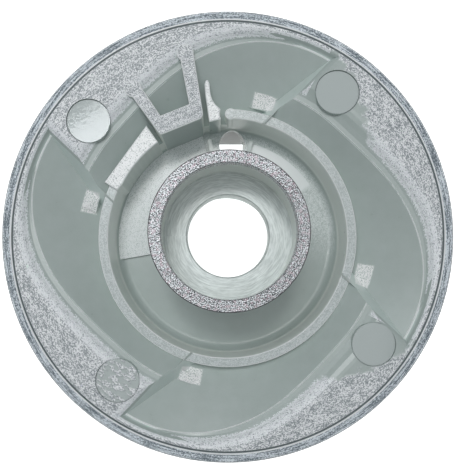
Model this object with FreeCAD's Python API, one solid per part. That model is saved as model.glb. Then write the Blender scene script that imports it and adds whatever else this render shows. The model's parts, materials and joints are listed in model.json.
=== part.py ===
import FreeCAD, Part
import math
import os

# Drum-shaped bobbin case, 64 mm across, lying on its back cover with the moulded face up.
# Origin: centre of the back cover's resting face. +Z is the bobbin's axis, out of the face.
# +X is the side of the latch, and the tension spring is on the -Y side of the barrel.

V = FreeCAD.Vector
UP = V(0, 0, 1)
os.makedirs("parts", exist_ok=True)

# Face and barrel
RIM_R = 32.0                # outer radius of the face and of the back cover
RIM_Z = 20.0                # height of the four flat pads
RIM_LAND_R = 30.4           # where the pads end and the sloping edge of the rim starts
BARREL_R = 31.2             # outside of the barrel, under the rim
CHAMBER_R = 29.2            # inside of the barrel
CHAMBER_TOP = 12.0          # ceiling over the bobbin
CHAMBER_STEP_R = 24.5       # beyond it the ceiling is higher, to keep the wall thin
CHAMBER_STEP_Z = 14.5
COVER_T = 2.4               # thickness of the back cover

# Well round the hub, and the hub
WELL_R = 17.44              # inside of the well wall
WELL_WALL_R = 18.82         # outside of the well wall, and of the bobbin's spindle
WELL_WALL_Z = 17.1          # top of the well wall
WELL_FLOOR_Z = 10.4
WELL_FOOT_R = 1.5           # fillet where the well wall meets its floor
FLOOR_T = 1.6
SPINDLE_IN_R = 17.3         # inside of the spindle, under the well floor
BOSS_R = 10.0               # outside of the hub
BOSS_TOP_Z = 27.9           # the steel collar sits on it
COLLAR_TOP_Z = 29.3
COLLAR_IN_R = 8.42
COUNTERBORE_R = 8.9
BUSH_SEAT_Z = 19.8
BUSH_TOP_Z = 21.0
BUSH_FOOT_Z = 16.7
WEB_FOOT_Z = 17.7
BUSH_R = 7.3
BORE_R = 5.68
BORE_FOOT_Z = 18.4          # below it the bush is relieved
BORE_RELIEF_R = 6.5
HOLLOW_R = 8.2              # the hub is hollow behind its web

# Four ratchet ramps, each falling away after a slanting step
RAMPS = 4
FIRST_STEP = 61.0           # angle of the first step's outer end, degrees
STEP_OUTER_R = 30.1
STEP_INNER_R = 19.2
STEP_SWEEP = 8.5            # how far the step turns on its way in, degrees
CREASE_WIDE_R = 28.9        # edge of the ramp's floor just after its step
CREASE_NARROW_R = 21.9      # edge of the ramp's floor at its end
CREASE_START = 5.0          # the edge draws in between these angles after the step
CREASE_END = 77.0
CREASE_DEPTH = 1.1          # floor's depth under the pads, along its outer edge
SHOULDER = ((0.22, 0.92), (0.45, 0.60), (0.65, 0.26), (0.85, 0.06), (1.0, 0.0))
SHOULDER_WIDEST = 3.1       # the pad rolls over to the floor in this width, or what the rim leaves
BEAD_W = 0.09               # fine ridge that runs along the floor's outer edge
BEAD_H = 0.08
RAMP_DEEP = 6.3             # floor's depth at the well wall, just after the step
RAMP_SHALLOW = 3.3          # and at the ramp's end
STEP_FACE = ((2.2, 0.0), (1.6, 0.12), (1.15, 0.45), (0.8, 0.95), (-3.8, 9.0))
# A faceted gate lump near each step: degrees after the step, radius, length, width, height
LUMPS = ((14.3, 20.9, 3.9, 2.3, 1.3), (13.6, 21.0, 2.9, 2.4, 1.5),
         (12.4, 21.6, 3.3, 1.9, 1.2), (15.6, 20.9, 2.2, 1.5, 0.7))
EASE = 0.13                 # chamfer along the tops of the walls

# Moulding marks: flat round pads left by the mould's ejector pins
PIN_MARK_R = 3.0
PIN_MARK_AT_R = 25.4
PIN_MARK_Z = 19.88
PIN_MARK_ANGLES = (52.8, 140.3, 232.5, 323.6)

# Wall ends, guide and pocket beside the gap in the well wall
WALL_END = 88.6             # the well wall runs from WALL_START round to here
WALL_START = 126.5
WALL_BULB_R = 0.82
WALL_GAP = 0.75             # between the rounded end and the horn's socket
HORN_Z = 17.8
THICK_Z = 17.7
THICK_IN_R = 17.1
POCKET_Z = 20.06
POCKET_FOOT_R = 1.2
POCKET_CORNERS = (0.5, 0.9)

# Index hole in the well floor, over a slot through a sleeve and the back cover
INDEX_R = 2.0
INDEX_X = 0.8
INDEX_Y = 15.3
INDEX_SLOT_HALF = 2.15
INDEX_SLOT_Y = (12.5, 17.3)
INDEX_SLEEVE_T = 0.9
INDEX_COVER_Y = 17.9        # the slot is longer in the cover

# Bobbin and its washers
RUNNING = 0.08              # radial clearance of the bobbin on the spindle
BOBBIN_FOOT_Z = 2.9
BOBBIN_TOP_Z = 11.4
BOBBIN_CORE_R = 20.5
BOBBIN_FLANGE_R = 28.6
BOBBIN_FLANGE_T = 0.8
BOBBIN_WINDOWS = 6
WASHER_T = 0.4

# Back cover, its screws and the latch behind the hub
SCREW_AT_R = 13.5
SCREW_ANGLES = (60.0, 180.0, 300.0)
SCREW_R = 1.2
SCREW_TIP_Z = 8.0
SCREW_HEAD_R = 2.3
BOSS_OUT_R = 2.4
BACK_DISH = 0.4             # the cover's middle stands this far off the surface
LATCH_NOSE_X = 7.45
LATCH_HALF_W = 2.9
LATCH_BACK_X = 12.8
LATCH_Z = 2.5
LATCH_TOP_Z = 4.1
BRIDGE_Z = 4.2
BRIDGE_T = 0.9
BRIDGE_SCREW_Y = 4.6

# Tension spring on the barrel
TENSION_Z = 8.0
LEAF_R = 30.65
LEAF_T = 0.3
LEAF_H = 5.0
LEAF_START = -68.0
LEAF_END = -108.0
LEAF_SCREW_AT = -71.0
TENSION_SCREW_AT = -80.0
EYELET_AT = -113.0
SMALL_SCREW_R = 0.8
SMALL_HEAD_R = 1.5


def polar(radius, degrees, z=0.0):
    angle = math.radians(degrees)
    return V(radius * math.cos(angle), radius * math.sin(angle), z)


def tube(outer, inner, z0, z1):
    """Upright tube round the origin."""
    solid = Part.makeCylinder(outer, z1 - z0, V(0, 0, z0))
    return solid.cut(Part.makeCylinder(inner, z1 - z0 + 2, V(0, 0, z0 - 1)))


def post(radius, z0, z1, x=0.0, y=0.0):
    return Part.makeCylinder(radius, z1 - z0, V(x, y, z0))


def block(x0, x1, y0, y1, z0, z1):
    return Part.makeBox(x1 - x0, y1 - y0, z1 - z0, V(x0, y0, z0))


def turned(profile):
    """Solid of revolution round Z, from corner points (radius, z)."""
    points = [V(radius, 0, z) for radius, z in profile]
    face = Part.Face(Part.makePolygon(points + points[:1]))
    return face.revolve(V(0, 0, 0), UP, 360)


def prism(points, z0, z1):
    """Upright prism on an outline of (x, y) points."""
    base = [V(x, y, z0) for x, y in points]
    face = Part.Face(Part.makePolygon(base + base[:1]))
    return face.extrude(V(0, 0, z1 - z0))


def wedge(start, end, reach, z0, z1):
    """Pie slice from angle start to angle end, up to 300 degrees."""
    steps = 6
    angles = [start + (end - start) * i / steps for i in range(steps + 1)]
    rim = [(reach * math.cos(math.radians(a)), reach * math.sin(math.radians(a))) for a in angles]
    return prism([(0.0, 0.0)] + rim, z0, z1)


def radial_post(radius, r0, r1, degrees, z):
    """Cylinder whose axis points outwards at the given angle and height."""
    return Part.makeCylinder(radius, r1 - r0, polar(r0, degrees, z), polar(1, degrees))


def ring_edges(shape, radius, z):
    """Circular edges round the Z axis with this radius and height."""
    found = []
    for edge in shape.Edges:
        box = edge.BoundBox
        flat = abs(box.ZMin - z) < 0.01 and abs(box.ZMax - z) < 0.01
        if flat and abs(box.XMax - radius) < 0.01 and abs(box.XMin + radius) < 0.01:
            found.append(edge)
    return found


def upright_edges(shape, x, y):
    """Upright straight edges that stand over a point."""
    found = []
    for edge in shape.Edges:
        box = edge.BoundBox
        if abs(box.XMin - x) + abs(box.XMax - x) + abs(box.YMin - y) + abs(box.YMax - y) < 0.01:
            found.append(edge)
    return found


def fused(first, *others):
    return first.multiFuse(list(others)).removeSplitter()


def save(name, shape):
    shape = shape.removeSplitter() if len(shape.Solids) == 1 else shape
    print(f"{name:22s} solids {len(shape.Solids)}  valid {shape.isValid()}  {shape.Volume:9.1f} mm3")
    shape.exportStep(f"parts/{name}.step")


# ---------------------------------------------------------------- front shell

def crease_radius(after_step):
    """Radius of the ramp floor's outer edge, so many degrees after the step."""
    along = (after_step - CREASE_START) / (CREASE_END - CREASE_START)
    along = min(max(along, 0.0), 1.0)
    ease = 0.5 * (1 + math.cos(math.pi * along))
    return CREASE_NARROW_R + (CREASE_WIDE_R - CREASE_NARROW_R) * ease


def ramp_section(after_step, degrees):
    """Outline of a ramp's hollow in the upright plane at this angle."""
    inner_r = WELL_R - 1.4
    crease = crease_radius(after_step)
    along = min(max(after_step / 90.0, 0.0), 1.0)
    depth = RAMP_DEEP + (RAMP_SHALLOW - RAMP_DEEP) * along
    slope = (depth - CREASE_DEPTH) / (crease - WELL_WALL_R)
    inner_depth = CREASE_DEPTH + slope * (crease - inner_r)
    width = min(SHOULDER_WIDEST, RIM_LAND_R - 0.6 - crease)
    corners = [
        (inner_r, RIM_Z - inner_depth),
        (crease - BEAD_W, RIM_Z - CREASE_DEPTH - slope * BEAD_W),
        (crease, RIM_Z - CREASE_DEPTH + BEAD_H),
        (crease + BEAD_W, RIM_Z - CREASE_DEPTH),
    ]
    corners += [(crease + share * width, RIM_Z - CREASE_DEPTH * left) for share, left in SHOULDER]
    corners += [(crease + width, RIM_Z + 2), (inner_r, RIM_Z + 2)]
    points = [polar(radius, degrees, z) for radius, z in corners]
    return Part.makePolygon(points + points[:1])


def step_ends(degrees):
    """Outer and inner end of the line that a step follows, run past the ramp at both ends."""
    outer = polar(STEP_OUTER_R, degrees)
    inner = polar(STEP_INNER_R, degrees + STEP_SWEEP)
    along = (inner - outer).normalize()
    return outer - along * 1.6, inner + along * 5.0


def step_side(degrees):
    """Everything beyond a step's face, which slants and is rounded at the top."""
    outer, inner = step_ends(degrees)
    along = (inner - outer).normalize()
    before = V(-along.y, along.x, 0)
    corners = list(STEP_FACE) + [(-60.0, 9.0), (-60.0, -3.0), (STEP_FACE[0][0], -3.0)]
    points = [outer - along * 4 + before * shift + V(0, 0, RIM_Z - depth) for shift, depth in corners]
    face = Part.Face(Part.makePolygon(points + points[:1]))
    return face.extrude(along * 2.2 * RIM_R)


def ramp_hollow(degrees):
    """What one ramp removes from the face, between its own step and the next."""
    turns = [-10 + 9.0 * i for i in range(14)]
    loft = Part.makeLoft([ramp_section(turn, degrees + turn) for turn in turns], True, False)
    start_out, start_in = step_ends(degrees - 8)
    end_out, end_in = step_ends(degrees + 90)
    outline = [start_out, polar(48, degrees + 20), polar(48, degrees + 70), end_out, end_in,
               polar(8, degrees + 56), start_in]
    limits = prism([(p.x, p.y) for p in outline], WELL_FLOOR_Z, RIM_Z + 3)
    return loft.common(limits).common(step_side(degrees))


def shell_body():
    """Face, barrel, well, spindle and hub, before the ramps."""
    floor_foot = WELL_FLOOR_Z - FLOOR_T
    body = turned((
        (CHAMBER_R, COVER_T),
        (BARREL_R, COVER_T),
        (BARREL_R, RIM_Z - 3.6),
        (RIM_R, RIM_Z - 2.8),
        (RIM_R, RIM_Z - 0.9),
        (RIM_R - 0.3, RIM_Z - 0.6),
        (RIM_LAND_R + 0.2, RIM_Z - 0.2),
        (RIM_LAND_R + 0.1, RIM_Z - 0.05),
        (RIM_LAND_R, RIM_Z - 0.05),
        (RIM_LAND_R - 0.1, RIM_Z - 0.2),
        (RIM_LAND_R - 0.2, RIM_Z - 0.2),
        (RIM_LAND_R - 0.35, RIM_Z),
        (WELL_R, RIM_Z),
        (WELL_R, WELL_FLOOR_Z),
        (BOSS_R, WELL_FLOOR_Z),
        (BOSS_R, BOSS_TOP_Z),
        (COUNTERBORE_R, BOSS_TOP_Z),
        (COUNTERBORE_R, BUSH_SEAT_Z),
        (BUSH_R, BUSH_SEAT_Z),
        (BUSH_R, WEB_FOOT_Z),
        (HOLLOW_R, WEB_FOOT_Z),
        (HOLLOW_R, COVER_T),
        (BOSS_R, COVER_T),
        (BOSS_R, floor_foot),
        (SPINDLE_IN_R, floor_foot),
        (SPINDLE_IN_R, COVER_T),
        (WELL_WALL_R, COVER_T),
        (WELL_WALL_R, CHAMBER_TOP),
        (CHAMBER_STEP_R, CHAMBER_TOP),
        (CHAMBER_STEP_R, CHAMBER_STEP_Z),
        (CHAMBER_R, CHAMBER_STEP_Z),
    ))
    return body.makeFillet(WELL_FOOT_R, ring_edges(body, WELL_R, WELL_FLOOR_Z))


def eased(solid, z):
    """The solid with a small chamfer round its top, at height z."""
    tops = [e for e in solid.Edges if abs(e.BoundBox.ZMin - z) < 0.01 and abs(e.BoundBox.ZMax - z) < 0.01]
    return solid.makeChamfer(EASE, tops)


def clear_of_chamber(solid):
    """The solid without what would hang into the bobbin's chamber."""
    return solid.cut(tube(RIM_R, WELL_WALL_R - 0.5, 0, CHAMBER_TOP + 0.6))


def well_wall():
    """The wall round the well, open where thread crosses it, with a rounded end."""
    wall = eased(tube(WELL_WALL_R, WELL_R, WELL_FLOOR_Z + WELL_FOOT_R, WELL_WALL_Z), WELL_WALL_Z)
    wall = wall.cut(wedge(WALL_END, WALL_START, 24, CHAMBER_TOP, WELL_WALL_Z + 1))
    bulb = polar(0.5 * (WELL_R + WELL_WALL_R), WALL_END)
    end = eased(post(WALL_BULB_R, CHAMBER_TOP + 0.6, WELL_WALL_Z, bulb.x, bulb.y), WELL_WALL_Z)
    return [wall, end]


def thick_wall():
    """The stretch of well wall whose outside is a straight chord."""
    outline = [(-11.75, 16.25), (-17.8, 8.05), (-16.0, 6.9), (-9.9, 13.6)]
    wall = prism(outline, WELL_FLOOR_Z, THICK_Z).cut(post(THICK_IN_R, WELL_FLOOR_Z - 1, RIM_Z))
    return clear_of_chamber(eased(wall, THICK_Z))


def thread_guide():
    """Curved horn beside the gap, hollowed to face the rounded wall end."""
    outline = [(-3.35, 22.2), (-3.15, 22.75), (-2.85, 22.8), (-2.62, 22.3), (-2.45, 20.7),
               (-2.2, 19.95), (-1.75, 19.25), (-0.75, 18.35), (-1.0, 17.1), (-2.65, 16.75),
               (-3.2, 20.4)]
    horn = prism(outline, WELL_FLOOR_Z, HORN_Z)
    socket = polar(0.5 * (WELL_R + WELL_WALL_R) - 0.15, WALL_END)
    horn = horn.cut(post(WALL_BULB_R + WALL_GAP, CHAMBER_TOP, RIM_Z, socket.x, socket.y))
    return clear_of_chamber(eased(horn, HORN_Z))


def pocket_wall():
    """U-shaped wall of the knot pocket, with rounded outer corners and spread feet."""
    leg_a, corner_a, corner_b, leg_b = (-13.9, 20.3), (-9.44, 14.22), (-3.38, 16.69), (-4.86, 25.9)
    inside = [(-6.82, 25.7), (-5.43, 18.57), (-9.44, 16.95), (-12.5, 21.45)]
    wall = prism([leg_a, corner_a, corner_b, leg_b] + inside, WELL_FLOOR_Z, POCKET_Z)
    for (x, y), radius in zip((corner_a, corner_b), POCKET_CORNERS):
        wall = wall.makeFillet(radius, upright_edges(wall, x, y))
    walls = [clear_of_chamber(eased(wall, POCKET_Z))]
    for x, y in ((-13.3, 20.75), (-6.0, 25.8)):
        walls.append(eased(post(POCKET_FOOT_R, RIM_Z - 3, POCKET_Z, x, y), POCKET_Z))
    return walls


def gate_lump(turn, radius, length, width, height):
    """A small faceted lump that stands against the well wall."""
    corners = ((-0.5, -0.45), (-0.38, 0.35), (0.05, 0.55), (0.42, 0.3), (0.54, -0.1), (0.3, -0.5))
    depth = RAMP_DEEP - (radius - WELL_WALL_R) * 0.5
    foot_z = RIM_Z - depth - 0.3
    outline = [(x * length, y * width) for x, y in corners]
    lump = prism(outline, foot_z - 1.2, foot_z + height + 2)
    tilts = ((16, -12), (-18, 8), (4, 22))
    for lean_x, lean_y in tilts:
        cap = block(-6, 6, -6, 6, foot_z + height, foot_z + height + 9)
        cap.rotate(V(0, 0, foot_z + height), V(1, 0, 0), lean_x)
        cap.rotate(V(0, 0, foot_z + height), V(0, 1, 0), lean_y)
        lump = lump.cut(cap)
    lump.rotate(V(0, 0, 0), UP, turn - 90)
    lump.translate(polar(radius, turn))
    return lump


def gate_lumps():
    return [gate_lump(FIRST_STEP + 90 * ramp + lump[0], *lump[1:]) for ramp, lump in enumerate(LUMPS)]


def well_ribs():
    """Two small ribs beside the index hole, and the raised land on the well floor."""
    ribs = []
    for degrees in (76.3, 99.7):
        rib = block(BOSS_R - 0.2, 16.1, -0.3, 0.3, WELL_FLOOR_Z - 0.5, WELL_FLOOR_Z + 1.0)
        rib.rotate(V(0, 0, 0), UP, degrees)
        ribs.append(rib)
    land = tube(WELL_R + 0.2, BOSS_R - 0.3, WELL_FLOOR_Z - 0.5, WELL_FLOOR_Z + 0.5)
    ribs.append(land.common(wedge(103, 190, 24, WELL_FLOOR_Z - 1, WELL_FLOOR_Z + 2)))
    return ribs


def index_slot(z0, z1, grow=0.0, far_y=INDEX_SLOT_Y[1]):
    half = INDEX_SLOT_HALF + grow
    return block(INDEX_X - half, INDEX_X + half, INDEX_SLOT_Y[0] - grow, far_y + grow, z0, z1)


def index_sleeve(top_z):
    return index_slot(COVER_T, top_z, INDEX_SLEEVE_T)


def front_shell():
    shell = shell_body()
    for ramp in range(RAMPS):
        shell = shell.cut(ramp_hollow(FIRST_STEP + 90 * ramp))
    added = well_wall() + pocket_wall() + well_ribs() + gate_lumps()
    added += [thick_wall(), thread_guide()]
    for degrees in PIN_MARK_ANGLES:
        at = polar(PIN_MARK_AT_R, degrees)
        added.append(post(PIN_MARK_R, RIM_Z - 3.2, PIN_MARK_Z, at.x, at.y))
    floor_foot = WELL_FLOOR_Z - FLOOR_T
    added.append(index_sleeve(floor_foot + 0.5).common(post(WELL_WALL_R, COVER_T, floor_foot + 0.5)))
    for degrees in SCREW_ANGLES:
        at = polar(SCREW_AT_R, degrees)
        added.append(post(BOSS_OUT_R, COVER_T, floor_foot + 0.5, at.x, at.y))
    shell = shell.multiFuse(added)

    removed = [post(INDEX_R, 0, WELL_FLOOR_Z + 3, INDEX_X, INDEX_Y), index_slot(0, floor_foot)]
    for degrees in PIN_MARK_ANGLES:
        at = polar(PIN_MARK_AT_R, degrees)
        ring = post(PIN_MARK_R + 0.12, PIN_MARK_Z - 0.2, RIM_Z + 1, at.x, at.y)
        removed.append(ring.cut(post(PIN_MARK_R, PIN_MARK_Z - 1, PIN_MARK_Z, at.x, at.y)))
    for degrees in SCREW_ANGLES:
        at = polar(SCREW_AT_R, degrees)
        removed.append(post(SCREW_R, 0, SCREW_TIP_Z, at.x, at.y))
    removed.append(block(6, BOSS_R + 0.5, -2.2, 2.2, COVER_T - 1, LATCH_TOP_Z + 0.1))
    leaf_seat = tube(RIM_R, LEAF_R - 0.05, TENSION_Z - 3, TENSION_Z + 3)
    removed.append(leaf_seat.common(wedge(LEAF_END - 2, LEAF_START + 2, 50, 0, RIM_Z)))
    for degrees in (LEAF_SCREW_AT, TENSION_SCREW_AT):
        removed.append(radial_post(SMALL_SCREW_R, CHAMBER_R - 1, RIM_R, degrees, TENSION_Z))
    removed.append(radial_post(1.0, CHAMBER_R - 1, RIM_R, EYELET_AT, TENSION_Z))
    slot = tube(RIM_R, CHAMBER_R - 1, TENSION_Z - 0.35, TENSION_Z + 0.35)
    removed.append(slot.common(wedge(EYELET_AT, EYELET_AT + 15, 50, 0, RIM_Z)))
    return shell.cut(removed).removeSplitter()


# ---------------------------------------------------------------- hub pieces

def hub_collar():
    edge = 0.08
    outer_edge = 0.12
    return turned((
        (COLLAR_IN_R, BOSS_TOP_Z),
        (BOSS_R, BOSS_TOP_Z),
        (BOSS_R, COLLAR_TOP_Z - outer_edge),
        (BOSS_R - outer_edge, COLLAR_TOP_Z),
        (COLLAR_IN_R + edge, COLLAR_TOP_Z),
        (COLLAR_IN_R, COLLAR_TOP_Z - edge),
    ))


def hub_bush():
    groove_top = WEB_FOOT_Z
    groove_foot = WEB_FOOT_Z - 0.6
    return turned((
        (BORE_R, BORE_FOOT_Z),
        (BORE_RELIEF_R, BORE_FOOT_Z),
        (BORE_RELIEF_R, BUSH_FOOT_Z),
        (BUSH_R - 0.2, BUSH_FOOT_Z),
        (BUSH_R, BUSH_FOOT_Z + 0.2),
        (BUSH_R, groove_foot),
        (BUSH_R - 0.4, groove_foot),
        (BUSH_R - 0.4, groove_top),
        (BUSH_R, groove_top),
        (BUSH_R, BUSH_SEAT_Z),
        (COUNTERBORE_R, BUSH_SEAT_Z),
        (COUNTERBORE_R, BUSH_TOP_Z),
        (BORE_R + 0.15, BUSH_TOP_Z),
        (BORE_R, BUSH_TOP_Z - 0.15),
    ))


def bush_circlip():
    clip = tube(HOLLOW_R - 0.1, BUSH_R - 0.4, WEB_FOOT_Z - 0.6, WEB_FOOT_Z)
    return clip.cut(block(-0.9, 0.9, -HOLLOW_R - 1, 0, WEB_FOOT_Z - 1, WEB_FOOT_Z + 1))


# ---------------------------------------------------------------- bobbin

def bobbin_core():
    return tube(BOBBIN_CORE_R, WELL_WALL_R + RUNNING, BOBBIN_FOOT_Z, BOBBIN_TOP_Z)


def bobbin_flange(z0):
    """Pressed disc with a ring of round windows."""
    disc = tube(BOBBIN_FLANGE_R, BOBBIN_CORE_R, z0, z0 + BOBBIN_FLANGE_T)
    at_r = 0.5 * (BOBBIN_CORE_R + BOBBIN_FLANGE_R)
    windows = []
    for i in range(BOBBIN_WINDOWS):
        at = polar(at_r, 30 + 360.0 * i / BOBBIN_WINDOWS)
        windows.append(post(1.8, z0 - 1, z0 + 2, at.x, at.y))
    return disc.cut(windows)


def drag_spring():
    """Thin washer with six raised bows that keeps the bobbin from running on."""
    base_z = CHAMBER_TOP - 0.2
    washer = tube(23.4, 19.6, base_z, CHAMBER_TOP)
    bows = []
    for i in range(6):
        at = polar(21.5, 60 * i)
        bows.append(post(1.2, base_z - 0.25, base_z + 0.1, at.x, at.y))
    return fused(washer, *bows)


def thrust_washer():
    return tube(27.4, 19.5, COVER_T, COVER_T + WASHER_T)


# ---------------------------------------------------------------- back cover and latch

def back_cover():
    cover = turned((
        (HOLLOW_R, BACK_DISH),
        (RIM_R - 6.0, BACK_DISH),
        (RIM_R - 6.4, 0),
        (RIM_R - 0.5, 0),
        (RIM_R, 0.5),
        (RIM_R, COVER_T - 0.3),
        (RIM_R - 0.3, COVER_T),
        (HOLLOW_R, COVER_T),
    ))
    register = tube(SPINDLE_IN_R - 0.05, SPINDLE_IN_R - 1.2, COVER_T, COVER_T + 1.0)
    register = register.cut([
        index_slot(COVER_T, 6, INDEX_SLEEVE_T + 0.2),
        block(0, RIM_R, -3.4, 3.4, 0, 6),
    ])
    removed = [index_slot(-1, 6, 0.0, INDEX_COVER_Y)]
    removed.append(block(10.3, 14.0, -2.4, 2.4, -1, 6))
    dish = Part.makeSphere(9.0, V(12.2, 0, -8.0))
    removed.append(dish)
    for degrees in SCREW_ANGLES:
        at = polar(SCREW_AT_R, degrees)
        removed.append(post(SCREW_R, -1, 6, at.x, at.y))
        removed.append(Part.makeCone(SCREW_HEAD_R, SCREW_R, 1.2, V(at.x, at.y, BACK_DISH)))
    for side in (-1, 1):
        removed.append(post(0.7, 1.2, 6, 11.4, side * BRIDGE_SCREW_Y))
    for degrees in range(0, 360, 30):
        notch = radial_post(0.9, RIM_R - 0.25, RIM_R + 2, degrees + 15, COVER_T / 2)
        removed.append(notch)
    return cover.fuse(register).cut(removed)


def countersunk_screw(x, y):
    """Cover screw, head down, with a cross recess."""
    head = Part.makeCone(SCREW_HEAD_R - 0.02, SCREW_R, 1.19, V(x, y, BACK_DISH + 0.01))
    screw = head.fuse(post(SCREW_R, BACK_DISH + 1.0, SCREW_TIP_Z - 0.2, x, y))
    arm = 1.2
    cross = block(x - arm, x + arm, y - 0.25, y + 0.25, 0, BACK_DISH + 0.7)
    cross = cross.fuse(block(x - 0.25, x + 0.25, y - arm, y + arm, 0, BACK_DISH + 0.7))
    return screw.cut(cross)


def cover_screws():
    places = [polar(SCREW_AT_R, degrees) for degrees in SCREW_ANGLES]
    return Part.makeCompound([countersunk_screw(at.x, at.y) for at in places])


def latch_slide():
    """Plate with a nose that reaches through the hub wall, and a ribbed thumb tab behind."""
    body = block(BOSS_R + 0.3, LATCH_BACK_X, -LATCH_HALF_W, LATCH_HALF_W, LATCH_Z, LATCH_TOP_Z)
    nose = block(LATCH_NOSE_X, BOSS_R + 1, -2.0, 2.0, LATCH_Z, LATCH_TOP_Z)
    lead = prism([(LATCH_NOSE_X - 1, LATCH_Z - 2.2), (LATCH_NOSE_X - 1, LATCH_Z + 0.9),
                  (LATCH_NOSE_X + 1.4, LATCH_Z - 0.6), (LATCH_NOSE_X + 1.4, LATCH_Z - 2.2)], -3, 3)
    lead.rotate(V(0, 0, 0), V(1, 0, 0), 90)
    tab = block(10.6, 12.6, -2.0, 2.0, 0.7, LATCH_Z + 0.5)
    tab = tab.cut([block(x, x + 0.3, -3, 3, 0, 0.95) for x in (10.9, 11.5, 12.1)])
    return fused(body, nose, tab).cut(lead)


def latch_spring():
    """Compression spring between the slide and the spindle wall."""
    coil_r = 0.7
    wire_r = 0.15
    length = SPINDLE_IN_R - LATCH_BACK_X - 2 * wire_r - 0.1
    helix = Part.makeHelix(length / 5.0, length, coil_r)
    section = Part.Wire(Part.makeCircle(wire_r, V(coil_r, 0, 0), V(0, 1, 0)))
    spring = Part.Wire(helix).makePipeShell([section], True, True)
    spring.rotate(V(0, 0, 0), V(0, 1, 0), 90)
    spring.translate(V(LATCH_BACK_X + wire_r + 0.03, 0, 0.5 * (LATCH_Z + LATCH_TOP_Z)))
    return spring


def latch_bridge():
    """Strap over the slide that keeps it down on the cover."""
    strap = block(10.3, 12.5, -6.0, 6.0, COVER_T, BRIDGE_Z + BRIDGE_T)
    strap = strap.cut(block(10, 13, -LATCH_HALF_W - 0.15, LATCH_HALF_W + 0.15, 0, BRIDGE_Z))
    holes = [post(0.7, 0, 9, 11.4, side * BRIDGE_SCREW_Y) for side in (-1, 1)]
    return strap.cut(holes)


def pan_screw(head_r, shank_r, head_t, shank_l):
    """Slotted screw standing on the origin: shank down, head up."""
    head = Part.makeCylinder(head_r, head_t, V(0, 0, 0))
    head = head.makeFillet(0.25 * head_t, [head.Edges[0]])
    slot = block(-head_r, head_r, -0.2, 0.2, 0.5 * head_t, 2 * head_t)
    return head.fuse(post(shank_r, -shank_l, 0.1)).cut(slot)


def bridge_screws():
    screws = []
    for side in (-1, 1):
        screw = pan_screw(1.25, 0.7, 0.8, BRIDGE_Z + BRIDGE_T - 1.3)
        screw.translate(V(11.4, side * BRIDGE_SCREW_Y, BRIDGE_Z + BRIDGE_T))
        screws.append(screw)
    return Part.makeCompound(screws)


# ---------------------------------------------------------------- thread tension

def tension_spring():
    """Leaf that follows the barrel, held at one end and free at the other."""
    leaf = tube(LEAF_R + LEAF_T, LEAF_R, TENSION_Z - LEAF_H / 2, TENSION_Z + LEAF_H / 2)
    leaf = leaf.common(wedge(LEAF_END, LEAF_START, 50, 0, RIM_Z))
    taper = wedge(LEAF_END - 3, TENSION_SCREW_AT - 4, 50, 0, RIM_Z)
    narrow = taper.cut(block(-60, 60, -60, 60, TENSION_Z - 1.5, TENSION_Z + 1.5))
    leaf = leaf.cut(narrow)
    holes = [radial_post(1.0, LEAF_R - 2, RIM_R, at, TENSION_Z)
             for at in (LEAF_SCREW_AT, TENSION_SCREW_AT)]
    return leaf.cut(holes)


def barrel_screw(degrees, gap, shank_r):
    """Small slotted screw driven into the barrel through the leaf."""
    screw = pan_screw(SMALL_HEAD_R, shank_r, 0.7, LEAF_T + gap + 1.2)
    screw.rotate(V(0, 0, 0), V(0, 1, 0), 90)
    screw.translate(V(LEAF_R + LEAF_T + gap, 0, TENSION_Z))
    screw.rotate(V(0, 0, 0), UP, degrees)
    return screw


def thread_eyelet():
    liner = radial_post(1.0, CHAMBER_R, BARREL_R + 0.2, EYELET_AT, TENSION_Z)
    flange = radial_post(1.6, BARREL_R, BARREL_R + 0.3, EYELET_AT, TENSION_Z)
    hole = radial_post(0.55, CHAMBER_R - 1, RIM_R, EYELET_AT, TENSION_Z)
    return liner.fuse(flange).cut(hole)


save("front_shell", front_shell())
save("back_cover", back_cover())
save("cover_screws", cover_screws())
save("hub_collar", hub_collar())
save("hub_bush", hub_bush())
save("bush_circlip", bush_circlip())
save("bobbin_core", bobbin_core())
save("bobbin_upper_flange", bobbin_flange(BOBBIN_TOP_Z - BOBBIN_FLANGE_T))
save("bobbin_lower_flange", bobbin_flange(BOBBIN_FOOT_Z))
save("drag_spring", drag_spring())
save("thrust_washer", thrust_washer())
save("latch_slide", latch_slide())
save("latch_spring", latch_spring())
save("latch_bridge", latch_bridge())
save("bridge_screws", bridge_screws())
save("tension_spring", tension_spring())
save("tension_screw", barrel_screw(TENSION_SCREW_AT, 0.12, SMALL_SCREW_R - 0.04))
save("leaf_screw", barrel_screw(LEAF_SCREW_AT, 0.06, SMALL_SCREW_R))
save("thread_eyelet", thread_eyelet())
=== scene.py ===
import json
import math

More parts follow.
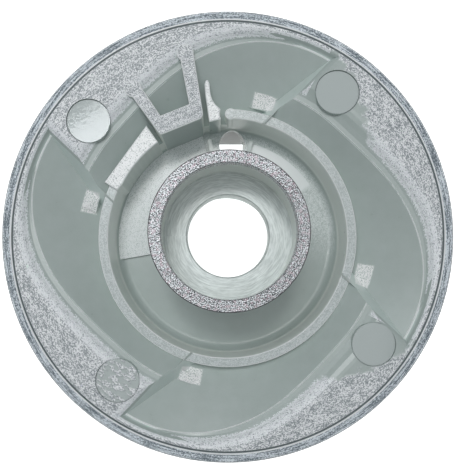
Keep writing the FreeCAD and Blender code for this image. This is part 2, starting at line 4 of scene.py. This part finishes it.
import bpy
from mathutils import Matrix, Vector


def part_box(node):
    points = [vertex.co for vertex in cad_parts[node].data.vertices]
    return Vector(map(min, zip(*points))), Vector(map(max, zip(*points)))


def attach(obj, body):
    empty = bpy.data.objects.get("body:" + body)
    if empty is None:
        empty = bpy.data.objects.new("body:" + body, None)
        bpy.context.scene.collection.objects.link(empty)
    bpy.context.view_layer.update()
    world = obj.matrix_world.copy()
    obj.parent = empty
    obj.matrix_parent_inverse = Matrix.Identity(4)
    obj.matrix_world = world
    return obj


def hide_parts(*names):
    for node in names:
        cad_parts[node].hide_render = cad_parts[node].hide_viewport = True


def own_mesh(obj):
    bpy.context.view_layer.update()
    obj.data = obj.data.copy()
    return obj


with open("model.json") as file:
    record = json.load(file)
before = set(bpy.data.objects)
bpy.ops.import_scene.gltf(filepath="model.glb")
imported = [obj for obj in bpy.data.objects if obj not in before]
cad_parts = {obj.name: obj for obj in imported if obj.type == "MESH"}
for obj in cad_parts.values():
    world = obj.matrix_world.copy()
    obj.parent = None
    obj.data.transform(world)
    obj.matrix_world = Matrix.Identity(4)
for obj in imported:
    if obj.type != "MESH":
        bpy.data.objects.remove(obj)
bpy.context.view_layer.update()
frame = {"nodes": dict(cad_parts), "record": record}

# Lengths here are millimetres. Blender's scene is in metres, like the frame.
MM = 0.001


# Heights and radii of the moulded face, which tell the textured zones of its plastic apart
HUB_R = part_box("hub_collar")[1][0] / MM
COLLAR_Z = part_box("hub_collar")[1][2] / MM
PAD_Z = 20.0                # the four flat pads
PIN_MARK_Z = 19.88
CREASE_Z = 18.9             # the ramps' outer edge; the pads roll over to it
LINE_R = 30.25              # fine groove round the pads, with a ridge outside it
RIM_R = 32.0
WELL_R = 17.44              # inside of the well wall
WALL_R = 18.82              # outside of the well wall
WELL_FLOOR_Z = 10.4
LAND_Z = WELL_FLOOR_Z + 0.5     # raised part of the well's floor
WALL_TOP_LOW = WELL_FLOOR_Z + 6.5
WALL_TOP_HIGH = WELL_FLOOR_Z + 7.5
THICK_TOP_Z = WELL_FLOOR_Z + 7.0    # wall tops above this belong to the thick wall
TEXTURE_Z = PAD_Z - 0.75    # the pads' texture starts here, on their rolled-over edges
FIRST_STEP = 61.0           # degrees to one ramp's step; the others are a quarter turn apart
LUMP_TURN = 75.0            # degrees to one gate lump; the others are a quarter turn apart
LUMP_R = 21.0
LUMP_HALF_LONG = 1.7        # round the axis
LUMP_HALF_WIDE = 1.15
GRAIN_R = 24.0              # radius at which a stretched grain has its stated length


# ---------------------------------------------------------------- material nodes

class Graph:
    """One material's nodes. Every method returns the output that it makes."""

    def __init__(self, name):
        self.mat = bpy.data.materials.new(name)
        self.mat.use_nodes = True
        self.tree = self.mat.node_tree
        self.shader = self.tree.nodes["Principled BSDF"]
        coords = self.node("ShaderNodeTexCoord").outputs["Object"]
        self.place = self.vector("SCALE", coords, scale=1 / MM)
        x, y, z = self.split(self.place)
        self.x, self.y, self.z = x, y, z
        squares = self.math("ADD", self.math("MULTIPLY", x, x), self.math("MULTIPLY", y, y))
        self.r = self.math("SQRT", squares)
        self.turn = self.math("ARCTAN2", y, x)

    def node(self, kind, **settings):
        node = self.tree.nodes.new(kind)
        for key, value in settings.items():
            setattr(node, key, value)
        return node

    def put(self, socket, value):
        """Links an output to a socket, or sets the socket to a constant."""
        if isinstance(value, bpy.types.NodeSocket):
            self.tree.links.new(value, socket)
        else:
            socket.default_value = value

    def set(self, **values):
        """Sets the shader's inputs; base_color stands for Base Color, and so on."""
        for key, value in values.items():
            self.put(self.shader.inputs[key.replace("_", " ").title()], value)

    def math(self, operation, a, b=0.0, c=0.0):
        node = self.node("ShaderNodeMath", operation=operation)
        for socket, value in zip(node.inputs, (a, b, c)):
            self.put(socket, value)
        return node.outputs[0]

    def vector(self, operation, a, b=(0, 0, 0), scale=1.0):
        node = self.node("ShaderNodeVectorMath", operation=operation)
        self.put(node.inputs[0], a)
        self.put(node.inputs[1], b)
        self.put(node.inputs["Scale"], scale)
        return node.outputs["Vector"]

    def split(self, vector):
        node = self.node("ShaderNodeSeparateXYZ")
        self.put(node.inputs[0], vector)
        return node.outputs

    def join(self, x, y, z):
        node = self.node("ShaderNodeCombineXYZ")
        for socket, value in zip(node.inputs, (x, y, z)):
            self.put(socket, value)
        return node.outputs[0]

    def step(self, value, low, high):
        """0 under low, 1 over high, and smooth between; low may be the larger."""
        node = self.node("ShaderNodeMapRange", interpolation_type="SMOOTHSTEP")
        self.put(node.inputs["Value"], value)
        node.inputs["From Min"].default_value = min(low, high)
        node.inputs["From Max"].default_value = max(low, high)
        node.inputs["To Min"].default_value = 0.0 if low < high else 1.0
        node.inputs["To Max"].default_value = 1.0 if low < high else 0.0
        return node.outputs["Result"]

    def band(self, value, low, high, soft):
        """1 between low and high, fading to 0 over soft on each side."""
        return self.both(self.step(value, low - soft, low), self.step(value, high + soft, high))

    def both(self, *masks):
        total = masks[0]
        for mask in masks[1:]:
            total = self.math("MULTIPLY", total, mask)
        return total

    def either(self, *masks):
        total = masks[0]
        for mask in masks[1:]:
            total = self.math("MAXIMUM", total, mask)
        return total

    def without(self, mask):
        return self.math("SUBTRACT", 1.0, mask)

    def noise(self, size, detail=2.0, rough=0.5, at=None):
        """Noise from 0 to 1 whose grains are about so many millimetres."""
        node = self.node("ShaderNodeTexNoise")
        self.put(node.inputs["Vector"], self.place if at is None else at)
        node.inputs["Scale"].default_value = 1 / size
        node.inputs["Detail"].default_value = detail
        node.inputs["Roughness"].default_value = rough
        return node.outputs["Fac"]

    def around(self, along, across, up=1.0):
        """Coordinates that run round the axis, stretched by along in that direction."""
        arc = self.math("MULTIPLY", self.turn, GRAIN_R / along)
        out = self.math("MULTIPLY", self.r, 1 / across)
        return self.join(arc, out, self.math("MULTIPLY", self.z, up))

    def blend(self, factor, a, b):
        """Colour a where the factor is 0, and colour b where it is 1."""
        node = self.node("ShaderNodeMix", data_type="RGBA")
        self.put(node.inputs[0], factor)
        self.put(node.inputs[6], (*a, 1) if isinstance(a, tuple) else a)
        self.put(node.inputs[7], (*b, 1) if isinstance(b, tuple) else b)
        return node.outputs[2]

    def choose(self, factor, a, b):
        """Number a where the factor is 0, and number b where it is 1."""
        node = self.node("ShaderNodeMix", data_type="FLOAT")
        self.put(node.inputs[0], factor)
        self.put(node.inputs[2], a)
        self.put(node.inputs[3], b)
        return node.outputs[0]

    def shade(self, color, amount):
        """Colour multiplied by a number."""
        return self.vector("SCALE", color, scale=amount)

    def bump(self, height, depth, base=None):
        """Normal from a height of 0 to 1 that stands for so many millimetres."""
        node = self.node("ShaderNodeBump")
        node.inputs["Distance"].default_value = depth * MM
        self.put(node.inputs["Height"], height)
        if base is not None:
            self.put(node.inputs["Normal"], base)
        return node.outputs["Normal"]


def quarter_turn(g, degrees):
    """Angle from the nearest of four spokes a quarter turn apart, in degrees, -45 to 45."""
    turned_by = g.math("SUBTRACT", g.math("DEGREES", g.turn), degrees - 45.0)
    return g.math("SUBTRACT", g.math("FLOORED_MODULO", turned_by, 90.0), 45.0)


def lump_zone(g):
    """Mask of the four gate lumps."""
    per_degree = math.radians(LUMP_R) / LUMP_HALF_LONG
    along = g.math("ABSOLUTE", g.math("MULTIPLY", quarter_turn(g, LUMP_TURN), per_degree))
    out = g.math("SUBTRACT", g.r, LUMP_R)
    across = g.math("ABSOLUTE", g.math("MULTIPLY", out, 1 / LUMP_HALF_WIDE))
    return g.both(g.step(g.math("MAXIMUM", along, across), 1.05, 0.85),
                  g.step(g.z, WELL_FLOOR_Z + 2, WELL_FLOOR_Z + 2.5))


def smooth_by_step(g):
    """Mask of the smooth strip by the step on the two pads at +X; its edge wanders."""
    to_step = g.math("SUBTRACT", FIRST_STEP, g.math("DEGREES", g.turn))
    before = g.math("FLOORED_MODULO", to_step, 90.0)
    limit = g.math("MULTIPLY_ADD", g.math("SUBTRACT", 29.8, g.r), 4.4, 2.2)
    wander = g.math("MULTIPLY", g.math("SUBTRACT", g.noise(1.2), 0.5), 16.0)
    past = g.math("ADD", g.math("SUBTRACT", before, limit), wander)
    return g.both(g.step(past, 2.5, -2.5), g.step(g.x, 0.0, 2.0))


class CaseGraph(Graph):
    """The case's plastic: its slopes and grains, and a mask from 0 to 1 for each of its zones."""

    def __init__(self, name):
        super().__init__(name)
        self.facing = self.split(self.node("ShaderNodeNewGeometry").outputs["True Normal"])[2]
        self.level = self.step(self.facing, 0.99, 0.999)
        self.upright = self.step(self.math("ABSOLUTE", self.facing), 0.6, 0.2)
        self.fine = self.noise(0.12, 2.0, 0.6, self.around(1.6, 1.0))
        self.patch = self.noise(0.42, 2.0, 0.5, self.around(2.4, 1.0))
        self.mottle = self.noise(1.7, 3.0, 0.6)
        self.cloud = self.noise(9.0, 2.0, 0.5)
        self.grain = self.math("MULTIPLY_ADD", self.patch, 0.22, self.math("MULTIPLY", self.fine, 0.78))
        self.speckle = self.step(self.grain, 0.43, 0.57)
        self.mask_pads()
        self.mask_rim()
        self.mask_walls()
        self.mask_floor()

    def mask_pads(self):
        """The pads, their rolled-over shoulders, the pin marks, and the ramps' steps and creases."""
        ragged = self.math("MULTIPLY_ADD", self.math("SUBTRACT", self.grain, 0.5), 0.9, self.z)
        inside_line = self.step(self.r, LINE_R, LINE_R - 0.1)
        rough_here = self.without(smooth_by_step(self))
        worn = self.both(self.step(self.x, 2.0, -2.0), self.step(self.y, 2.0, -2.0),
                         self.step(self.patch, 0.44, 0.56))
        self.pin_mark = self.both(self.level, self.band(self.z, PIN_MARK_Z - 0.02, PIN_MARK_Z + 0.02, 0.02),
                                  self.without(worn))
        # The groove round each pin mark, which gets painted shade in pads_and_rim_color.
        self.pin_groove_shade = self.both(self.level,
                                    self.band(self.z, PIN_MARK_Z - 0.22, PIN_MARK_Z - 0.18, 0.01))
        self.pad = self.both(self.step(ragged, TEXTURE_Z, TEXTURE_Z + 0.3), inside_line,
                             self.step(self.r, WELL_R - 1.5, WELL_R), self.step(self.facing, 0.55, 0.8),
                             self.without(self.pin_mark), rough_here)
        self.shoulder = self.both(self.band(ragged, TEXTURE_Z, PAD_Z - 0.04, 0.12),
                                  self.step(self.r, WALL_R, WALL_R + 0.5), inside_line,
                                  self.band(self.facing, 0.6, 0.975, 0.02), rough_here)
        # The ramps' step faces, which get painted light in plain_color.
        self.step_face_painted_lighter = self.both(self.band(self.facing, 0.46, 0.53, 0.03),
                                   self.step(self.z, PAD_Z - 0.6, PAD_Z - 1.0),
                                   self.step(self.r, WALL_R, WALL_R + 0.2))
        # The ramps' creases, which get a painted highlight line in walls_and_floor_color.
        self.crease_highlight = self.both(self.band(self.z, CREASE_Z - 0.1, CREASE_Z + 0.08, 0.01),
                                self.band(self.facing, 0.54, 0.8, 0.02))

    def mask_rim(self):
        """The groove round the pads, the ridge outside it, the rim and the rim's outer brink."""
        high = self.step(self.z, PAD_Z - 1.1, PAD_Z - 0.95)
        self.groove = self.both(self.band(self.r, LINE_R - 0.1, LINE_R + 0.08, 0.04), high)
        self.ridge = self.both(self.band(self.r, LINE_R + 0.15, LINE_R + 0.35, 0.05), high)
        self.rim = self.both(self.step(self.r, LINE_R + 0.3, LINE_R + 0.45), high)
        self.brink = self.both(self.step(self.r, RIM_R - 0.28, RIM_R - 0.18), high)

    def mask_walls(self):
        """The tops and edges of the well's walls, and the sides of the well, the hub and the hole."""
        self.wall_top = self.both(self.step(self.facing, 0.96, 0.99),
                                  self.band(self.z, WALL_TOP_LOW, WALL_TOP_HIGH, 0.1),
                                  self.step(self.r, HUB_R, WELL_R - 1.0))
        self.thick = self.step(self.z, THICK_TOP_Z - 0.1, THICK_TOP_Z + 0.1)
        chamfer = self.either(self.band(self.z, WALL_TOP_LOW, WALL_TOP_HIGH, 0.05),
                              self.step(self.z, PAD_Z - 0.1, PAD_Z - 0.07))
        # Chamfered edges, which get a painted highlight in walls_and_floor_color.
        self.edge = self.both(self.band(self.facing, 0.69, 0.725, 0.01), chamfer)
        # The well's sides, which get painted light in plain_color.
        self.well_side_painted_light = self.both(self.upright, self.band(self.r, WELL_R - 0.3, WALL_R, 0.1),
                                   self.step(self.z, WELL_FLOOR_Z, WELL_FLOOR_Z + 0.4))
        # The inside of the hub's hole, which gets painted light in plain_color.
        self.hub_side_painted_light = self.both(self.upright, self.step(self.r, HUB_R - 0.3, HUB_R - 0.5),
                                  self.step(self.z, PAD_Z, PAD_Z + 0.4))
        # The index hole's side, which gets painted shade in plain_color.
        self.hole_side_painted_shade = self.both(self.upright, self.band(self.r, 12.4, WELL_R, 0.05),
                                   self.step(self.z, WELL_FLOOR_Z, WELL_FLOOR_Z - 0.1))

    def mask_floor(self):
        """The paler parts of the well's floor: frosted speckle painted only on the +Y half where the key
        lamp falls, the speckled land, and a painted highlight streak at 35 to 75 degrees.
        """
        low = self.both(self.step(self.z, WELL_FLOOR_Z + 1.1, WELL_FLOOR_Z + 0.6),
                        self.step(self.r, HUB_R, HUB_R + 1.0), self.step(self.facing, 0.5, 0.9))
        # Painted light: frosted speckle only on the floor's +Y half, where the key lamp falls.
        painted_lit_haze = self.both(low, self.step(self.y, -5.0, 3.0), self.step(self.grain, 0.42, 0.56), 0.75)
        land = self.both(self.level, self.band(self.z, LAND_Z - 0.05, LAND_Z + 0.05, 0.03),
                         self.step(self.grain, 0.38, 0.5))
        # Painted highlight: a bright streak by the foot of the well wall.
        painted_highlight_streak = self.both(self.band(self.r, 14.0, 15.8, 0.2),
                           self.band(self.turn, math.radians(35), math.radians(75), 0.06), low)
        self.frost_and_painted_light = self.either(painted_lit_haze, land, painted_highlight_streak)


def plain_color(g):
    """The smooth plastic, a little uneven, with painted light on the sides of the well and the hub's hole,
    painted shade on the index hole's side, and painted light on the ramps' step faces.
    """
    color = g.blend(g.mottle, (0.435, 0.505, 0.480), (0.50, 0.565, 0.55))
    color = g.shade(color, g.math("MULTIPLY_ADD", g.cloud, 0.12, 0.94))
    # Painted light: the well's deep side walls are made nearly white to stand in for the light that reaches
    # them through the plastic.
    color = g.blend(g.well_side_painted_light, color, (0.93, 0.97, 0.92))
    # Painted shade: the index hole's side wall is painted dark, as shade in the recess.
    color = g.blend(g.hole_side_painted_shade, color, (0.17, 0.205, 0.185))
    # Painted light: the hub's inner wall, deep in its counterbore, is made nearly white to stand in for the
    # light that reaches it.
    color = g.blend(g.hub_side_painted_light, color, (0.92, 0.97, 0.92))
    # Painted light: the step faces, turned away from the key lamp, are made 1.35 times lighter.
    return g.shade(color, g.choose(g.step_face_painted_lighter, 1.0, 1.35))


def pads_and_rim_color(g, color):
    """The speckled pads, the pin marks and the streaked rim, over the plain plastic, with painted shade in
    the grooves and along the rim's brink and a painted highlight on the ridge.
    """
    rings = g.noise(0.2, 1.0, 0.5, g.around(12.0, 1.0))
    lines = g.math("MULTIPLY_ADD", rings, 0.4, g.math("MULTIPLY", g.fine, 0.6))
    streaks = g.blend(g.step(lines, 0.44, 0.56), (0.14, 0.18, 0.21), (0.82, 0.89, 0.95))
    # Painted shade in the pin marks' grooves: 0.8 strength on the +Y side, 0.2 on the -Y side.
    groove_shade_by_side = g.choose(g.step(g.y, -3.0, 3.0), 0.2, 0.8)
    color = g.blend(g.pad, color, g.blend(g.speckle, (0.26, 0.30, 0.32), (0.95, 0.98, 1.0)))
    color = g.blend(g.both(g.shoulder, g.step(g.grain, 0.34, 0.5)), color, (0.90, 0.94, 0.97))
    color = g.blend(g.rim, color, streaks)
    # Painted highlight: the thin ridge outside the groove is painted near-white.
    color = g.blend(g.ridge, color, (0.93, 0.96, 0.98))
    # Painted shade: the groove round the pads and the rim's outer brink are painted dark.
    color = g.blend(g.either(g.groove, g.both(g.brink, 0.8)), color, (0.16, 0.19, 0.20))
    color = g.blend(g.both(g.pin_groove_shade, groove_shade_by_side), color, (0.20, 0.24, 0.25))
    return g.blend(g.pin_mark, color, (0.50, 0.56, 0.55))


def walls_and_floor_color(g, color):
    """The wall tops, with a painted highlight on the thick wall's, painted highlights on edges and creases,
    white gate lumps with painted sparkle, and the frosted floor with painted light and a painted highlight
    streak, over what is there.
    """
    thin_top = g.blend(g.speckle, (0.47, 0.53, 0.52), (0.68, 0.73, 0.73))
    # Painted highlight: the thick wall's tops are speckled near-white, partly their frosted texture and
    # partly a painted reflection of the window lamp.
    thick_top_with_highlight = g.blend(g.step(g.grain, 0.37, 0.5), (0.40, 0.45, 0.44), (0.97, 0.99, 0.99))
    color = g.blend(g.wall_top, color, g.blend(g.thick, thin_top, thick_top_with_highlight))
    # Painted highlights: the chamfered edges and the ramps' creases are painted near-white.
    color = g.blend(g.either(g.edge, g.both(g.crease_highlight, 0.8)), color, (0.97, 1.0, 1.0))
    # Gate lumps: pure-white speckle, partly their own whitish colour and partly painted sparkle.
    color = g.blend(g.both(lump_zone(g), g.step(g.fine, 0.36, 0.54)), color, (1.0, 1.0, 1.0))
    # The frosted floor, with painted light on its +Y half and a painted highlight streak.
    return g.blend(g.frost_and_painted_light, color, (0.84, 0.88, 0.88))


def case_plastic():
    """Natural polyamide: spark-eroded pads, smooth ramps, frosted floor patches and white gate lumps, with
    painted highlights, painted light and painted shade in places.
    """
    g = CaseGraph("case_plastic")
    color = walls_and_floor_color(g, pads_and_rim_color(g, plain_color(g)))
    textured = g.either(g.pad, g.both(g.rim, 0.6), g.both(g.wall_top, 0.25))
    normal = g.bump(g.both(g.grain, textured), 0.09, g.bump(g.noise(0.5, 3.0, 0.55), 0.010))
    smooth = g.choose(g.pin_mark, g.math("MULTIPLY_ADD", g.mottle, 0.12, 0.24), 0.06)
    rough = g.choose(textured, smooth, g.choose(g.grain, 0.5, 0.3))
    g.set(base_color=color, normal=normal, roughness=rough)
    g.put(g.shader.inputs["Specular IOR Level"], g.choose(textured, 0.5, 1.0))
    g.put(g.shader.inputs["IOR"], 1.53)
    g.put(g.shader.inputs["Subsurface Weight"], 0.2)
    g.put(g.shader.inputs["Subsurface Radius"], (1.0, 1.1, 1.0))
    g.put(g.shader.inputs["Subsurface Scale"], 1.6 * MM)
    return g.mat


def collar_steel():
    """Bead-blasted ring: small pits that sparkle, with pinkish flecks and painted shade along the outer
    edge of its top.
    """
    g = Graph("collar_steel")
    grain = g.noise(0.12, 2.0, 0.7)
    tint = g.noise(0.45, 2.0, 0.6)
    color = g.blend(g.step(grain, 0.46, 0.56), (0.04, 0.045, 0.05), (0.82, 0.86, 0.88))
    color = g.blend(g.both(g.step(tint, 0.5, 0.62), 0.35), color, (0.62, 0.44, 0.50))
    # Painted shade: a black line along the outer edge of the collar's top.
    painted_edge_shade = g.both(g.step(g.r, HUB_R - 0.14, HUB_R - 0.1),
                     g.step(g.z, COLLAR_Z - 0.14, COLLAR_Z - 0.1))
    color = g.blend(painted_edge_shade, color, (0.05, 0.05, 0.055))
    g.set(base_color=color, metallic=0.8, roughness=g.choose(grain, 0.5, 0.32))
    g.set(normal=g.bump(grain, 0.05))
    return g.mat


def turned(name, dark, light, rough, ring, depth, metallic):
    """Lathe-turned metal: fine rings round the axis, a little uneven."""
    g = Graph(name)
    rings = g.noise(ring, 3.0, 0.6, g.around(30.0, 1.0, 0.3))
    smear = g.noise(1.2, 2.0, 0.5, g.around(6.0, 1.0))
    color = g.blend(g.step(rings, 0.3, 0.7), dark, light)
    color = g.shade(color, g.math("MULTIPLY_ADD", smear, 0.24, 0.88))
    g.set(base_color=color, metallic=metallic, roughness=g.math("MULTIPLY_ADD", rings, 0.18, rough))
    g.set(normal=g.bump(rings, depth))
    return g.mat


def rolled(name, dark, light, rough):
    """Rolled strip or wire: satin, with fine scratches along X and a few stains."""
    g = Graph(name)
    stretched = g.join(g.math("MULTIPLY", g.x, 0.12), g.y, g.z)
    lines = g.noise(0.09, 3.0, 0.6, stretched)
    stain = g.noise(1.6, 3.0, 0.6)
    color = g.blend(g.math("MULTIPLY_ADD", lines, 0.6, g.math("MULTIPLY", stain, 0.4)), dark, light)
    g.set(base_color=color, metallic=1.0, roughness=g.math("MULTIPLY_ADD", lines, 0.2, rough))
    g.set(normal=g.bump(lines, 0.012))
    return g.mat


def plated(name, dark, light, rough):
    """Plated screw or eyelet: nearly smooth, duller where it is handled."""
    g = Graph(name)
    wear = g.noise(0.8, 4.0, 0.6)
    pits = g.noise(0.12, 2.0, 0.5)
    g.set(base_color=g.blend(wear, dark, light), metallic=1.0)
    g.set(roughness=g.math("MULTIPLY_ADD", wear, 0.2, rough), normal=g.bump(pits, 0.006))
    return g.mat


def moulded(name, dark, light, rough, grain_size, depth):
    """Plain moulded plastic with a light texture."""
    g = Graph(name)
    grain = g.noise(grain_size, 3.0, 0.6)
    cloud = g.noise(4.0, 2.0, 0.5)
    mix = g.math("MULTIPLY_ADD", grain, 0.5, g.math("MULTIPLY", cloud, 0.5))
    g.set(base_color=g.blend(mix, dark, light))
    g.set(roughness=g.math("MULTIPLY_ADD", grain, 0.15, rough), normal=g.bump(grain, depth))
    return g.mat


MATERIALS = {
    "case_plastic": case_plastic(),
    "collar_steel": collar_steel(),
    "bush_steel": turned("bush_steel", (0.54, 0.59, 0.58), (0.80, 0.85, 0.84), rough=0.36, ring=0.16,
                         depth=0.004, metallic=0.3),
    "bobbin_aluminium": turned("bobbin_aluminium", (0.62, 0.63, 0.64), (0.80, 0.81, 0.82), rough=0.28,
                               ring=0.3, depth=0.01, metallic=1.0),
    "spring_steel": rolled("spring_steel", (0.40, 0.41, 0.43), (0.66, 0.67, 0.69), 0.24),
    "bridge_steel": rolled("bridge_steel", (0.38, 0.39, 0.40), (0.62, 0.63, 0.64), 0.30),
    "screw_steel": plated("screw_steel", (0.48, 0.47, 0.45), (0.70, 0.69, 0.66), 0.2),
    "eyelet_brass": plated("eyelet_brass", (0.60, 0.42, 0.17), (0.80, 0.62, 0.30), 0.16),
    "washer_plastic": moulded("washer_plastic", (0.72, 0.72, 0.70), (0.84, 0.84, 0.82), rough=0.35,
                              grain_size=0.3, depth=0.01),
    "latch_plastic": moulded("latch_plastic", (0.020, 0.022, 0.025), (0.045, 0.047, 0.05), rough=0.42,
                             grain_size=0.18, depth=0.02),
}


def dress_nodes():
    """Gives every CAD node the material of its slot."""
    slot_of = {part["node"]: part["material_slot"] for part in frame["record"]["subparts"]}
    for name, obj in frame["nodes"].items():
        obj.data.materials.clear()
        obj.data.materials.append(MATERIALS[slot_of[name]])


def latch_coil():
    """The latch spring as a piece of its own on the case's body, in place of the hidden CAD node, for the
    latch that slides out by its 1 mm.
    """
    cad = frame["nodes"]["latch_spring"]
    coil = bpy.data.objects.new("latch_coil", cad.data.copy())
    coil.matrix_world = cad.matrix_world.copy()
    bpy.context.scene.collection.objects.link(coil)
    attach(coil, "case")
    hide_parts("latch_spring")
    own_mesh(coil)


# ---------------------------------------------------------------- floor, light and camera

def pale_floor():
    """White sheet just under the case, which glows a little so that it has no grey shadow."""
    bpy.ops.mesh.primitive_plane_add(size=1.6, location=(0, 0, -0.2 * MM))
    floor = bpy.context.object
    floor.name = "floor"
    g = Graph("floor")
    g.set(base_color=g.blend(g.noise(60.0), (0.80, 0.80, 0.80), (0.84, 0.84, 0.84)), roughness=0.8)
    g.put(g.shader.inputs["Emission Color"], (1, 1, 1, 1))
    g.put(g.shader.inputs["Emission Strength"], 1.0)
    floor.data.materials.append(g.mat)


def area_light(name, place, aim, size, power, color=(1, 1, 1), roll=0.0):
    data = bpy.data.lights.new(name, "AREA")
    data.shape = "RECTANGLE"
    data.size, data.size_y = size[0] * MM, size[1] * MM
    data.energy = power
    data.color = color
    lamp = bpy.data.objects.new(name, data)
    lamp.location = Vector(place) * MM
    lamp.rotation_euler = (Vector(aim) - Vector(place)).to_track_quat("-Z", "Y").to_euler()
    lamp.rotation_euler.rotate_axis("Z", math.radians(roll))
    bpy.context.scene.collection.objects.link(lamp)


def studio_light():
    area_light("key", (-22, 160, 560), (0, 0, PAD_Z), (70, 70), 0.42, (1.0, 0.99, 0.97))
    area_light("ceiling", (0, 40, 540), (0, 0, PAD_Z), (400, 400), 0.42, (0.97, 0.99, 1.0))
    area_light("window", (-60.7, 81, 270), (-14.6, 13.4, PAD_Z), (89, 45), 0.115, (0.94, 0.97, 1.0))
    world = bpy.data.worlds.new("world")
    world.use_nodes = True
    back = world.node_tree.nodes["Background"]
    back.inputs["Color"].default_value = (0.95, 0.97, 1.0, 1)
    back.inputs["Strength"].default_value = 0.28
    bpy.context.scene.world = world


def camera():
    """Close overhead view, shifted because the lens isn't above the middle of the picture."""
    eye = Vector((-1.31, -5.2, 92.0))
    middle = (0.65, 0.09)
    span = 66.08            # what the frame's height takes in at the pads
    data = bpy.data.cameras.new("camera")
    data.sensor_width = 36.0
    data.lens = data.sensor_width * (eye.z - PAD_Z) / span
    data.shift_x = (middle[0] - eye.x) / span
    data.shift_y = (middle[1] - eye.y) / span
    data.clip_start = 1 * MM
    obj = bpy.data.objects.new("camera", data)
    obj.location = eye * MM
    bpy.context.scene.collection.objects.link(obj)
    bpy.context.scene.camera = obj


bpy.context.scene.view_settings.view_transform = "Standard"
camera()
studio_light()
pale_floor()
dress_nodes()
latch_coil()
